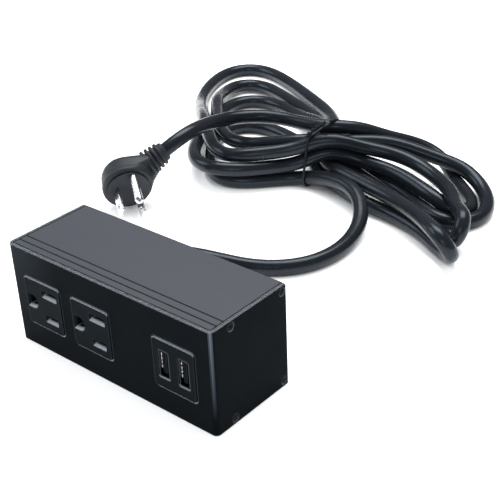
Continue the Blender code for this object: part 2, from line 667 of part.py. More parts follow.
def strain_relief():
    """Bushing held in the rear wall: inner lip, neck, outer flange and a long taper on the cord."""
    rear = REAR_Y
    profile = ((0, GLAND_END_Y), (0.0052, GLAND_END_Y), (0.0066, rear + 0.0026), (0.0080, rear + 0.0022),
               (0.0080, rear + GAP), (0.0060, rear + GAP), (0.0060, rear - WALL - GAP),
               (0.0073, rear - WALL - GAP), (0.0070, rear - WALL - 0.0014), (0, rear - WALL - 0.0014))
    turned("cord_strain_relief", profile, along((0, 1, 0), (GLAND[0], 0, GLAND[1])), PLUG_PVC, steps=28)


def hank():
    """Outer shape of the tied turns: two low fans of loops and the tall waist, grooved for the tie."""
    outline = [(p.x, p.y) for p in smooth_route([(*p, 0) for p in HANK_OUTLINE], 0.0070, closed=True)]
    made = plate("cord_hank", [outline], HANK_HEIGHT, Matrix.Translation((0, 0, HANK_HEIGHT / 2)), CORD_PVC)
    width = WAIST_X[1] - WAIST_X[0]
    join(made, plate("hank_waist", [WAIST_SECTION], width, across(sum(WAIST_X) / 2)))
    around = ((0.1500, -0.0100), (0.2300, -0.0100), (0.2300, 0.0500), (0.1500, 0.0500))
    cut(made, plate("tie_groove", [around, GROOVE_SECTION], 0.0052, across(TIE_X)))


def twist_tie():
    route = smooth_route([(TIE_X, y, z) for y, z in TIE_LOOP], 0.0035, closed=True)
    tube("twist_tie", route, TIE_R, LINE_PVC, closed=True)


def plug_matrix(depth=0.0):
    """Local Z runs along the pins and local Y towards the ground pin; depth is ahead of the face."""
    up = (GROUND_HINT - GROUND_HINT.dot(PIN_DIRECTION) * PIN_DIRECTION).normalized()
    return axes(up.cross(PIN_DIRECTION), up, PLUG_CENTRE + depth * PIN_DIRECTION)


def plug_neck_profile():
    """Neck that narrows from the body, then the ribs that let it flex."""
    end = PLUG_REACH
    profile = [(0, end), (0.0050, end)]
    for i in range(4):
        low = end - 0.0026 - 0.0032 * i
        outer = 0.0066 + 0.0002 * i
        profile += [(0.0052, low + 0.0016), (outer, low + 0.0014), (outer, low), (0.0052, low - 0.0002)]
    profile += [(0.0066, end - 0.0160), (0.0066, 0.0), (0, 0)]
    return profile


def plug():
    middle = -PLUG_FACE_THICK - GAP - PLUG_THICK / 2
    outline = arc((0, 0), PLUG_BODY_R, 0, 360 - 360 / 40, 39)
    body = plate("plug_body", [outline], PLUG_THICK, plug_matrix(middle), PLUG_PVC)
    bevel(body, 0.0030, 3)
    base = PLUG_CENTRE - PLUG_AXIS_DEPTH * PIN_DIRECTION
    join(body, turned("plug_neck", plug_neck_profile(), along(CORD_DIRECTION, base), steps=28))
    cylinder("plug_face", PLUG_FACE_R, PLUG_FACE_THICK, plug_matrix(-PLUG_FACE_THICK / 2), PLUG_PVC, sides=40)
    pin_base = plug_matrix(GAP)
    for label, side in (("line", -1), ("neutral", 1)):
        name = f"plug_{label}_blade"
        shift = Matrix.Translation((side * SLOT_PITCH / 2, BLADE_LINE, BLADE[2] / 2))
        blade = box(name, BLADE, pin_base @ shift, NICKEL)
        bevel(blade, 0.0003, 1)
        across_blade = Matrix.Rotation(math.radians(90), 4, "Y")
        hole = Matrix.Translation((side * SLOT_PITCH / 2, BLADE_LINE, 0.0117)) @ across_blade
        cut(blade, cylinder(name + "_hole", 0.0016, 0.01, pin_base @ hole, sides=16))
    shift = Matrix.Translation((0, GROUND_PIN, 0))
    profile = ((0, GROUND_PIN_LENGTH), (0.0007, GROUND_PIN_LENGTH - 0.0001), (0.0018, GROUND_PIN_LENGTH - 0.0009),
               (GROUND_PIN_R, GROUND_PIN_LENGTH - 0.0024), (GROUND_PIN_R, 0), (0, 0))
    turned("plug_ground_pin", profile, pin_base @ shift, NICKEL, steps=20)


main_extrusion()
front_fascia()
end_screws()
for count, centre_x in enumerate(OUTLET_X, 1):
    outlet(count, centre_x)
usb_module()
wiring()
strain_relief()
tube("cord_box_lead", smooth_route(BOX_LEAD, ROUTE_SPACING), CORD_R, CORD_PVC)
hank()
tube("cord_plug_lead", smooth_route(PLUG_LEAD, ROUTE_SPACING), CORD_R, CORD_PVC)
twist_tie()
plug()
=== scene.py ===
import math

import bmesh
import bpy
import numpy as np
from mathutils import Matrix, Vector


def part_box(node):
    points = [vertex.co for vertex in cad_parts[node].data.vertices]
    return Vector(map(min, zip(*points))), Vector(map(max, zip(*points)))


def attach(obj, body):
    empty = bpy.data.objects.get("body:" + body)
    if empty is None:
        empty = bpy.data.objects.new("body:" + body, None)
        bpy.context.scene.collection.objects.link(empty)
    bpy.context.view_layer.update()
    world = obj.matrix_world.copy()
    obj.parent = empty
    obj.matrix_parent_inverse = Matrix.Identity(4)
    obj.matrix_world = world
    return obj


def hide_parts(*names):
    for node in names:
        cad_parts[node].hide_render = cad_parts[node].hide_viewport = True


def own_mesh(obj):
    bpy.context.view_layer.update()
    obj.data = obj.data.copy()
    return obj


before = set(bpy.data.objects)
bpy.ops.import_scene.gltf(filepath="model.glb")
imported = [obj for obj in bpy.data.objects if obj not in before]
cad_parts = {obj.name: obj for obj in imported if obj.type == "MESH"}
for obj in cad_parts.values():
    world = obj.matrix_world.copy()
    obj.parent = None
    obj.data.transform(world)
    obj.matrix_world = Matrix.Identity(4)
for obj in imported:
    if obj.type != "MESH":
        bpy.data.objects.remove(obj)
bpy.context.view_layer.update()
BODY = "strip"

# Places and sizes, in metres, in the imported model's frame
CORD_R = 0.00415
# How far apart two points 24 to 30 mm apart along the cord are kept, in millimetres, to hold a fold open
FOLD_WIDTH = 14.0
FOLD_SPAN = 24
RUN_SPAN = 30
GLAND = Vector((-0.0500, 0.0235, 0.0140))
TIE_X = -0.0480
PLUG_CENTRE = Vector((-0.1099, 0.0960, 0.0141))
PIN_DIRECTION = Vector((0.784, -0.556, -0.277)).normalized()
GROUND_HINT = Vector((0.394, 0.101, 0.914))
CORD_DIRECTION = Vector((0.372, 0.794, 0.481)).normalized()
PLUG_AXIS_DEPTH = 0.0080
PLUG_REACH = 0.0284
PLUG_DISC_RADIUS = 0.0143
PLUG_NECK_RADIUS = 0.0076
PLUG_NECK_REACH = 0.0145
NECK_STARTS = 0.0030
NECK_GROWS_OVER = 0.0075
TIE_WIRE_RADIUS = 0.00075
TIE_END_RADIUS = 0.00065
KNOT = (0.1835, 0.0290)
CONTACT_STRIP = (0.0005, 0.0066, 0.0016)
CONTACT_HEIGHTS = (-0.0022, -0.0002, 0.0018, 0.0038)
COIL_RADIUS = 0.00062
COIL_WIRE_RADIUS = 0.00013
COIL_TURNS = 6

# Route of the lead from the box to the hank, in millimetres
BOX_LEAD = (
    (-50, 24, 14), (-50, 36, 14), (-50, 45, 14), (-49.8, 51, 13.6), (-48.6, 57, 12.4), (-45.5, 63, 10.9),
    (-40, 69, 9.2), (-33, 74, 7.4), (-24, 78.5, 5.7), (-15, 82, 4.6), (-7.5, 85.5, 4.2),
    (-0.5, 90.5, 4.2), (6, 96.5, 4.2), (11.5, 105, 4.2), (14.5, 115, 4.2), (15, 125, 4.4), (14, 135, 5),
    (12, 145, 6), (8, 154, 8), (2, 162.5, 10.5), (-5, 169.5, 12.5), (-14, 174, 13), (-25, 177.5, 12.5),
    (-37, 181, 9),
)
# Route of the lead from the tie to the plug
PLUG_LEAD = (
    (-58, 199, 30), (-70, 199, 29.7), (-83, 197.5, 29.6), (-93, 193.5, 29.7), (-100, 186.5, 30.2),
    (-104, 177, 31.2), (-105, 166, 32.8), (-104, 155, 34.4), (-102.6, 144, 35.6), (-102.4, 135, 35.4),
    (-103, 128.8, 33.6), (-104.4, 125.5, 31.6), (-109.5, 114.7, 25.0),
)
# Where each run of the cord passes the tie: (y, z)
TIE_SLOTS = (
    (184, 4.6), (201, 4.6), (194.5, 25), (192.5, 4.6), (193, 13), (186, 24), (201.5, 13), (184.5, 13),
    (199.5, 30),
)
# One fold of the hank between each two passes, left and right of the tie in turn
FOLDS = (
    ((-59, 177, 4.2), (-66, 169, 4.2), (-75, 160.5, 4.2), (-83.5, 154, 4.2), (-91, 151.5, 4.2),
     (-98, 154, 4.2), (-106, 160.5, 4.2), (-114, 168.5, 4.2), (-121.5, 177, 4.2), (-128, 187, 4.2),
     (-133.5, 197.5, 4.2), (-136.5, 207.5, 4.2), (-136, 216, 4.2), (-131.5, 222.5, 4.2),
     (-124, 226, 4.2), (-114, 227, 4.2), (-103, 225.5, 4.2), (-90, 222, 4.2), (-76, 217, 4.2),
     (-62, 209, 4.2)),
    ((-35.5, 205.5, 4.2), (-23.5, 205.5, 4.2), (-11.5, 204.5, 4.2), (0, 201.5, 4.2), (11, 196.5, 4.2),
     (21, 190.5, 4.2), (32, 184.5, 4.2), (42, 182.5, 4.2), (50.5, 186, 4.2), (55, 194, 4.2),
     (55, 204, 4.2), (51, 214.5, 4.8), (43.5, 224, 6.5), (34, 230, 8.4), (25, 232, 10.6), (17, 231, 13),
     (7.5, 228, 16), (-1.5, 224, 19.2), (-14.5, 218.5, 22.6), (-26, 212, 25), (-36.5, 204, 25.5)),
    ((-59, 189, 23.5), (-68, 185.5, 22), (-77.5, 181.5, 20), (-87, 178, 18), (-96.5, 177, 16.5),
     (-107, 180, 15.5), (-118.5, 186.5, 15), (-131, 196.5, 14.5), (-144, 210, 13.5), (-159, 227, 11),
     (-172, 246.5, 8), (-180, 263, 5.7), (-180.5, 275, 5), (-174, 281.5, 5), (-161.5, 282, 5),
     (-145, 276.5, 5.2), (-119, 264, 6.3), (-100, 254.5, 6.5), (-84, 242, 7), (-71.5, 226, 9),
     (-60, 208, 10)),
    ((-34.5, 187, 4.2), (-17, 179.5, 4.2), (0, 174.5, 4.2), (16, 173, 4.2), (30.5, 171.5, 4.2),
     (42, 167, 4.2), (51, 161.5, 4.2), (59, 156, 4.2), (66, 150.5, 5.2), (70, 145.5, 9), (69.5, 142, 14),
     (64.5, 142, 18), (57, 146.5, 19.5), (48, 153.5, 18.5), (37, 161.5, 16.5), (19, 172.5, 13.6),
     (4, 178, 12.6), (-8, 181, 12.6), (-20, 183.5, 12.6), (-32, 187, 12.6)),
    ((-53.5, 205, 13), (-60.5, 220, 12), (-69, 237, 10.5), (-83.5, 255, 8), (-101, 270, 6),
     (-122, 282.5, 5), (-144, 294.5, 4.4), (-166.5, 304.5, 4.2), (-186, 309, 4.2), (-199, 305, 4.2),
     (-205, 290, 4.2), (-199.5, 265.5, 4.2), (-188, 243.5, 4.2), (-176.5, 230, 6.5), (-161, 213.5, 11.5),
     (-143, 195.5, 17), (-127.5, 181, 20), (-116, 171, 19.5), (-106, 163, 18.6), (-97, 157.5, 18.2),
     (-88.5, 155.5, 18.2), (-81, 157.5, 18.6), (-74, 162.5, 19.4), (-67.5, 168.5, 20.4),
     (-60, 176, 21.8)),
    ((-36.5, 195, 25), (-28, 201.5, 24), (-19, 206.5, 22.5), (-9, 209.5, 20.8), (2, 211, 19.2),
     (12, 209.5, 17.8), (23, 205, 16.6), (33, 198, 15.6), (43, 189, 15.2), (52.5, 178.5, 15.6),
     (60, 168, 15.6), (64, 161.5, 13), (64, 159.5, 8.5), (58.5, 161.5, 5), (49, 167, 4.2),
     (42, 171.5, 4.2), (32, 178.5, 4.2), (20.5, 185, 4.2), (9, 189.5, 4.2), (-4, 194, 4.2),
     (-18, 198.5, 5.5), (-30, 201.5, 9)),
    ((-54.5, 212, 13.2), (-62.5, 222.5, 12.6), (-72, 231.5, 11.8), (-84, 239, 10.4), (-98, 246, 8.5),
     (-120, 256.5, 5.5), (-136, 261.5, 4.5), (-147, 262, 4.2), (-156, 258.5, 4.2), (-161.5, 251, 4.2),
     (-162, 241.5, 4.2), (-159.5, 230, 4.4), (-154, 217, 5), (-147, 203.5, 6), (-139.5, 190, 7.6),
     (-131, 176, 9.6), (-122.5, 164, 11.4), (-114, 154.5, 12.4), (-105, 148, 12.8), (-94.5, 145.5, 13.2),
     (-86, 148.5, 13.6), (-79, 154, 13.8), (-71.5, 161, 13.9), (-64.5, 169.5, 13.7), (-57, 178.5, 13.4)),
    ((-40, 193, 13.6), (-31, 199, 14.4), (-17, 202.5, 14.4), (3.5, 200.5, 13.8), (16.5, 196.5, 12.4),
     (28, 191.5, 10), (37.5, 188.5, 7.8), (46, 190.5, 5.6), (49.5, 197.5, 4.4), (46, 207, 4.2),
     (38, 216, 4.2), (28, 224, 4.5), (17.5, 234, 5.5), (9, 241, 8), (1, 243, 11), (-7, 240, 15),
     (-17, 231.5, 19.5), (-25.5, 219.5, 24), (-33, 208.5, 27), (-41, 202, 29)),
)


# The cord's line

def smooth(points, parts=10):
    """Catmull-Rom curve through the points."""
    line = np.vstack([2 * points[0] - points[1], points, 2 * points[-1] - points[-2]])
    made = []
    for a, b, c, d in zip(line, line[1:], line[2:], line[3:]):
        for i in range(parts):
            t = i / parts
            made.append(0.5 * (2 * b + (c - a) * t + (2 * a - 5 * b + 4 * c - d) * t * t
                               + (3 * b - a - 3 * c + d) * t ** 3))
    return np.array([*made, points[-1]])


def length_along(line):
    return np.concatenate([[0.0], np.cumsum(np.linalg.norm(np.diff(line, axis=0), axis=1))])


def even(line, step):
    """The same line with evenly spaced points."""
    at = length_along(line)
    want = np.linspace(0, at[-1], round(at[-1] / step) + 1)
    return np.stack([np.interp(want, at, line[:, axis]) for axis in range(3)], axis=1)


def ease(line, width, step, held):
    """Take out kinks sharper than the given width, with the two ends held."""
    reach = int(4 * width / step)
    weights = np.exp(-0.5 * (np.arange(-reach, reach + 1) * step / width) ** 2)
    weights /= weights.sum()
    padded = np.vstack([np.repeat(line[:1], reach, 0), line, np.repeat(line[-1:], reach, 0)])
    eased = np.stack([np.convolve(padded[:, axis], weights, "valid") for axis in range(3)], axis=1)
    index = np.arange(len(line))
    inside = np.minimum(index, index[::-1])
    share = np.clip((inside - held) / (2 * held), 0, 1)[:, None]
    return line * (1 - share) + eased * share


def settle(line, step, rounds, keep):
    """Push the cord's runs apart to one diameter, its folds open, and all of it up to the floor."""
    first, second = np.triu_indices(len(line), round(FOLD_SPAN / step))
    apart = np.where(second - first < RUN_SPAN / step, FOLD_WIDTH, 2 * CORD_R * 1000 + 0.05)
    home = line.copy()
    now = line.copy()
    for turn in range(rounds):
        if turn % 10 == 0:
            near = np.linalg.norm(now[first] - now[second], axis=1) < apart + 8
            a = first[near]
            b = second[near]
            least = apart[near]
        gap = now[a] - now[b]
        distance = np.linalg.norm(gap, axis=1) + 1e-9
        press = np.clip(least - distance, 0, None)
        push = gap / distance[:, None] * (0.3 * press)[:, None]
        move = np.zeros_like(now)
        count = np.zeros(len(now))
        np.add.at(move, a, push)
        np.add.at(move, b, -push)
        np.add.at(count, a, press > 0)
        np.add.at(count, b, press > 0)
        move /= np.maximum(count, 1)[:, None] * 0.6 + 0.4
        bend = np.zeros_like(now)
        bend[1:-1] = (now[:-2] + now[2:]) / 2 - now[1:-1]
        stiff = np.zeros_like(now)
        stiff[1:-1] = (bend[:-2] + bend[2:]) / 2 - bend[1:-1]
        now = now + move - 0.3 * stiff + keep * (home - now)
        now[:, 2] = np.maximum(now[:, 2], CORD_R * 1000)
        now[:4] = home[:4]
        now[-5:] = home[-5:]
    return now


def cord_line():
    """The whole cord's centreline, from the bushing through each fold of the hank to the plug."""
    route = list(BOX_LEAD)
    for (y, z), fold in zip(TIE_SLOTS, FOLDS):
        route.append((TIE_X * 1000, y, z))
        route.extend(fold)
    route.append((TIE_X * 1000, *TIE_SLOTS[-1]))
    route.extend(PLUG_LEAD)
    step = 3.0
    line = even(smooth(np.array(route, dtype=float)), step)
    line = ease(line, 4.0, step, 5)
    for _ in range(5):
        line = settle(line, step, 50, 0.004)
        line = ease(line, 2.5, step, 5)
    line = settle(line, step, 30, 0.0)
    return even(smooth(line, 3), 1.5) / 1000


LINE = cord_line()


# Camera, floor and light

def camera():
    data = bpy.data.cameras.new("camera")
    data.lens = 76.7
    data.sensor_width = 36
    data.clip_start = 0.01
    made = bpy.data.objects.new("camera", data)
    azimuth = math.radians(41.16)
    elevation = math.radians(29.56)
    look = Vector((-math.sin(azimuth) * math.cos(elevation), math.cos(azimuth) * math.cos(elevation),
                   -math.sin(elevation)))
    level = look.cross(Vector((0, 0, 1))).normalized()
    roll = Matrix.Rotation(math.radians(2.53), 3, look)
    right = roll @ level
    up = right.cross(look)
    turn = Matrix((right, up, -look)).transposed().to_4x4()
    made.matrix_world = Matrix.Translation((0.2948, -0.2657, 0.2776)) @ turn
    bpy.context.scene.collection.objects.link(made)
    bpy.context.scene.camera = made


def softbox(name, place, aim, size, power, colour=(1, 1, 1)):
    data = bpy.data.lights.new(name, "AREA")
    data.shape = "RECTANGLE"
    data.size = size[0]
    data.size_y = size[1]
    data.energy = power
    data.color = colour
    made = bpy.data.objects.new(name, data)
    made.location = place
    made.rotation_euler = (Vector(aim) - Vector(place)).to_track_quat("-Z", "Y").to_euler()
    bpy.context.scene.collection.objects.link(made)


def studio():
    scene = bpy.context.scene
    scene.view_settings.view_transform = "Standard"
    world = bpy.data.worlds.new("studio")
    world.use_nodes = True
    world.node_tree.nodes["Background"].inputs["Color"].default_value = (0.90, 0.94, 1.0, 1)
    world.node_tree.nodes["Background"].inputs["Strength"].default_value = 0.22
    scene.world = world
    softbox("top_softbox", (-0.25, 0.55, 1.25), (-0.05, 0.10, 0), (1.1, 0.8), 21)
    softbox("left_softbox", (-1.1, -0.35, 0.75), (0, 0.05, 0), (0.7, 0.7), 5, (0.86, 0.93, 1.0))
    softbox("front_softbox", (0.55, -1.1, 0.70), (0, 0.05, 0), (0.6, 0.5), 2.5)
    floor = bpy.data.meshes.new("floor")
    floor.from_pydata([(-4, -4, 0), (4, -4, 0), (4, 4, 0), (-4, 4, 0)], [], [(0, 1, 2, 3)])
    made = bpy.data.objects.new("floor", floor)
    scene.collection.objects.link(made)
    white = bpy.data.materials.new("floor_white")
    white.use_nodes = True
    shader = white.node_tree.nodes["Principled BSDF"]
    shader.inputs["Base Color"].default_value = (0.93, 0.93, 0.93, 1)
    shader.inputs["Roughness"].default_value = 0.9
    shader.inputs["Emission Color"].default_value = (1, 1, 1, 1)
    nodes = white.node_tree.nodes
    # The floor's glow fades where ambient occlusion is high, which paints shade on the floor between and
    # under the cord's strands and beside the box.
    open_sky = nodes.new("ShaderNodeAmbientOcclusion")
    open_sky.samples = 8
    open_sky.inputs["Distance"].default_value = 0.030
    glow = nodes.new("ShaderNodeMapRange")
    for name, value in (("From Min", 0.20), ("From Max", 0.52), ("To Min", 0.0), ("To Max", 0.70)):
        glow.inputs[name].default_value = value
    white.node_tree.links.new(open_sky.outputs["AO"], glow.inputs["Value"])
    white.node_tree.links.new(glow.outputs["Result"], shader.inputs["Emission Strength"])
    floor.materials.append(white)


# Materials

class Finish:
    """A Principled material whose colour, roughness and bump come from noise in object space."""

    def __init__(self, name, colour, roughness, metallic=0.0, specular=0.5, specular_tint=None):
        self.material = bpy.data.materials.new(name)
        self.material.use_nodes = True
        self.nodes = self.material.node_tree.nodes
        self.links = self.material.node_tree.links
        self.shader = self.nodes["Principled BSDF"]
        self.shader.inputs["Base Color"].default_value = (*colour, 1)
        self.shader.inputs["Roughness"].default_value = roughness
        self.shader.inputs["Metallic"].default_value = metallic
        self.shader.inputs["Specular IOR Level"].default_value = specular
        if specular_tint:
            self.shader.inputs["Specular Tint"].default_value = (*specular_tint, 1)
        self.colour = colour
        self.roughness = roughness
        self.base = None
        self.bump = None

    def node(self, kind, settings=None, **sockets):
        made = self.nodes.new(kind)
        for key, value in (settings or {}).items():
            setattr(made, key, value)
        for key, value in sockets.items():
            socket = made.inputs[key.replace("_", " ")]
            if isinstance(value, bpy.types.NodeSocket):
                self.links.new(value, socket)
            else:
                socket.default_value = value
        return made

    def place(self, stretch=(1, 1, 1)):
        where = self.node("ShaderNodeTexCoord").outputs["Object"]
        return self.node("ShaderNodeMapping", Vector=where, Scale=stretch).outputs["Vector"]

    def noise(self, scale, detail=2.0, stretch=(1, 1, 1)):
        made = self.node("ShaderNodeTexNoise", Vector=self.place(stretch), Scale=scale, Detail=detail)
        return made.outputs["Fac"]

    def ramp(self, value, low, high, start=0.3, end=0.7):
        made = self.node("ShaderNodeMapRange", Value=value)
        made.inputs["From Min"].default_value = start
        made.inputs["From Max"].default_value = end
        made.inputs["To Min"].default_value = low
        made.inputs["To Max"].default_value = high
        return made.outputs["Result"]

    def towards(self, mask, other):
        """Mix the colour so far with another one where the mask is high."""
        mix = self.nodes.new("ShaderNodeMix")
        mix.data_type = "RGBA"
        factor = next(s for s in mix.inputs if s.name == "Factor" and s.type == "VALUE")
        first, second = (next(s for s in mix.inputs if s.name == end and s.type == "RGBA") for end in "AB")
        self.links.new(mask, factor)
        if self.base:
            self.links.new(self.base, first)
        else:
            first.default_value = (*self.colour, 1)
        second.default_value = (*other, 1)
        self.base = next(s for s in mix.outputs if s.type == "RGBA")
        self.links.new(self.base, self.shader.inputs["Base Color"])
        return self

    def both(self, first, second):
        made = self.nodes.new("ShaderNodeMath")
        made.operation = "MULTIPLY"
        self.links.new(first, made.inputs[0])
        self.links.new(second, made.inputs[1])
        return made.outputs["Value"]

    def vary_colour(self, other, scale, stretch=(1, 1, 1), start=0.35, end=0.65):
        return self.towards(self.ramp(self.noise(scale, 3, stretch), 0, 1, start, end), other)

    def edges(self, other, radius, least=0.10):
        """Paints another colour on the edges, most of all where they face up: a light colour makes a
        painted highlight, a dark one painted shade.
        """
        rounded = self.node("ShaderNodeBevel", {"samples": 6}, Radius=radius).outputs["Normal"]
        flat = self.node("ShaderNodeNewGeometry").outputs["Normal"]
        dot = self.nodes.new("ShaderNodeVectorMath")
        dot.operation = "DOT_PRODUCT"
        self.links.new(rounded, dot.inputs[0])
        self.links.new(flat, dot.inputs[1])
        edge = self.ramp(dot.outputs["Value"], 1, 0, 0.86, 0.985)
        up = self.node("ShaderNodeSeparateXYZ", Vector=rounded).outputs["Z"]
        facing = self.ramp(up, least, 1, 0.10, 0.55)
        return self.towards(self.both(edge, facing), other)

    def vary_roughness(self, spread, scale, stretch=(1, 1, 1)):
        value = self.ramp(self.noise(scale, 3, stretch), self.roughness - spread, self.roughness + spread)
        self.links.new(value, self.shader.inputs["Roughness"])
        return self

    def add_bump(self, height, distance, strength=1.0):
        made = self.node("ShaderNodeBump", Height=height, Distance=distance, Strength=strength)
        if self.bump:
            self.links.new(self.bump, made.inputs["Normal"])
        self.bump = made.outputs["Normal"]
        self.links.new(self.bump, self.shader.inputs["Normal"])
        return self

    def grain(self, scale, distance, stretch=(1, 1, 1), detail=2.0):
        return self.add_bump(self.noise(scale, detail, stretch), distance)


def fascia_finish():
    made = Finish("fascia_black", (0.0028, 0.0046, 0.0062), 0.45, 0.0, 0.015, (0.6, 0.8, 1.0))
    made.vary_colour((0.0042, 0.0064, 0.0082), 14)
    where = made.node("ShaderNodeSeparateXYZ", Vector=made.place()).outputs
    # Painted reflection: the front is lighter towards its upper left, as if it mirrored the left softbox.
    painted_reflection = made.both(made.ramp(where["X"], 1, 0, -0.062, -0.030), made.ramp(where["Z"], 0, 1, 0.012, 0.050))
    made.towards(painted_reflection, (0.024, 0.031, 0.038))
    # Painted highlight: a light stripe down the rounded front-right bend, fading towards the bottom.
    normal = made.node("ShaderNodeNewGeometry").outputs["Normal"]
    facing = made.node("ShaderNodeSeparateXYZ", Vector=normal).outputs
    bend = made.both(made.ramp(facing["X"], 0, 1, 0.25, 0.65), made.ramp(facing["Y"], 1, 0, -0.80, -0.45))
    made.towards(made.both(bend, made.ramp(where["Z"], 0, 1, 0.008, 0.048)), (0.16, 0.19, 0.23))
    # Painted highlight on the rims, strongest along the top edges.
    made.edges((0.62, 0.66, 0.72), 0.0013)
    made.vary_roughness(0.05, 60)
    return made.grain(2600, 0.00003).grain(500, 0.00002).material


def cover_finish():
    made = Finish("cover_grey", (0.055, 0.060, 0.075), 0.50, 0.0, 0.35)
    made.vary_colour((0.061, 0.066, 0.081), 9, (0.4, 3, 3))
    # Painted shade: the cover's edges are made near black, standing for the shaded seam along the rim.
    made.edges((0.002, 0.002, 0.003), 0.0009, 1)
    made.vary_roughness(0.04, 45, (1, 6, 6))
    return made.grain(2400, 0.00002).grain(220, 0.00001, (0.05, 8, 8)).material


def moulded(name, colour, roughness, grain=0.00002, specular=0.3, edge=None, rounding=0.0010):
    made = Finish(name, colour, roughness, 0.0, specular)
    made.vary_colour(tuple(1.25 * c for c in colour), 60)
    # An edge colour, when given, is a painted highlight on the edges.
    if edge:
        made.edges(edge, rounding)
    made.vary_roughness(0.06, 90)
    return made.grain(1800, grain).material


def module_plastic():
    """Moulded black faces, with painted highlights on their edges and on the upward-facing lips near the
    front.
    """
    made = Finish("black_plastic", (0.0040, 0.0066, 0.0086), 0.38, 0.0, 0.02, (0.6, 0.8, 1.0))
    made.vary_colour((0.0055, 0.0085, 0.0108), 60)
    # Painted highlight on the edges, most where they face up.
    made.edges((0.50, 0.54, 0.58), 0.0010, 0.05)
    # Painted highlight: upward-facing surfaces just behind the front, such as the slots' lower lips, are
    # made light grey.
    normal = made.node("ShaderNodeNewGeometry").outputs["Normal"]
    up = made.ramp(made.node("ShaderNodeSeparateXYZ", Vector=normal).outputs["Z"], 0, 1, 0.3, 0.8)
    depth = made.node("ShaderNodeSeparateXYZ", Vector=made.place()).outputs["Y"]
    made.towards(made.both(up, made.ramp(depth, 1, 0, -0.0222, -0.0214)), (0.55, 0.60, 0.65))
    made.vary_roughness(0.06, 90)
    return made.grain(1800, 0.00002).material


def metal(name, colour, roughness, scratch=0.00001):
    made = Finish(name, colour, roughness, 1.0)
    made.vary_colour(tuple(0.85 * c for c in colour), 220)
    made.vary_roughness(0.07, 500, (1, 1, 4))
    return made.grain(900, scratch, (1, 1, 6)).material


def jacket(name, colour, roughness):
    """Extruded PVC: glossy, with faint drawn ripples and dull patches."""
    made = Finish(name, colour, roughness, 0.0, 0.30, (0.72, 0.88, 1.0))
    made.vary_colour(tuple(1.4 * c for c in colour), 30)
    made.vary_roughness(0.07, 70)
    return made.grain(170, 0.00006).grain(1500, 0.000012).material


def board_finish():
    made = Finish("circuit_board", (0.012, 0.09, 0.035), 0.35)
    made.vary_colour((0.03, 0.16, 0.06), 700, (1, 1, 0.15), 0.49, 0.51)
    return made.grain(500, 0.00002).material


def finishes():
    black_plastic = module_plastic()
    brass = metal("brass_strip", (0.72, 0.52, 0.22), 0.28)
    nickel = metal("nickel_plate", (0.78, 0.78, 0.79), 0.20)
    # The light edge colour is a painted highlight on the screw heads' edges.
    steel = moulded("black_steel", (0.003, 0.004, 0.005), 0.45, 0.00001, 0.05, (0.30, 0.32, 0.34), 0.00008)
    shell = metal("dark_nickel", (0.060, 0.062, 0.066), 0.34)
    made = {
        "main_extrusion": cover_finish(),
        "front_fascia": fascia_finish(),
        "usb_bezel": black_plastic,
        "usb_tongue": black_plastic,
        "usb_port_shell": shell,
        "usb_circuit_board": board_finish(),
        "usb_transformer": moulded("transformer_tape", (0.42, 0.30, 0.06), 0.55),
        "usb_input_capacitor": moulded("capacitor_sleeve", (0.02, 0.035, 0.10), 0.30),
        "usb_output_capacitor": moulded("capacitor_sleeve_small", (0.02, 0.035, 0.10), 0.30),
        "line_wire": jacket("line_insulation", (0.012, 0.012, 0.012), 0.35),
        "neutral_wire": jacket("neutral_insulation", (0.70, 0.70, 0.66), 0.40),
        "ground_wire": jacket("ground_insulation", (0.03, 0.26, 0.08), 0.40),
        "plug_face": moulded("plug_face_pvc", (0.020, 0.024, 0.030), 0.48),
        "plug_line_blade": nickel,
        "plug_neutral_blade": nickel,
        "plug_ground_pin": nickel,
        "end_screw": steel,
    }
    for number in (1, 2):
        outlet = f"outlet_{number}_"
        made[outlet + "body"] = black_plastic
        made[outlet + "rear_cover"] = black_plastic
        made[outlet + "shutter"] = moulded("shutter_plastic", (0.02, 0.022, 0.025), 0.42)
        for pole in ("line", "neutral", "ground"):
            made[f"{outlet}{pole}_contact"] = brass
    return made


def paint_frame():
    """Give each shown CAD node its finish."""
    made = finishes()
    names = sorted(made, key=len, reverse=True)
    for node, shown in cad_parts.items():
        match = next((name for name in names if node == name), None)
        match = match or next((name for name in names if node.startswith(name)), None)
        if match:
            shown.data.materials.clear()
            shown.data.materials.append(made[match])


# Pieces

def piece(name, mesh, finish, slot, *nodes):
    """Link a mesh or curve as a piece that rides on the box and stands for the given nodes."""
    made = bpy.data.objects.new(name, mesh)
    made.data.materials.append(finish)
    bpy.context.scene.collection.objects.link(made)
    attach(made, BODY)
    if nodes:
        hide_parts(*nodes)
    return made


def tube_curve(name, points, radius, sides=5, closed=False):
    curve = bpy.data.curves.new(name, "CURVE")
    curve.dimensions = "3D"
    curve.bevel_depth = radius
    curve.bevel_resolution = sides
    curve.use_fill_caps = True
    spline = curve.splines.new("POLY")
    spline.points.add(len(points) - 1)
    for point, place in zip(spline.points, points):
        point.co = (*place, 1)
    spline.use_cyclic_u = closed
    return curve


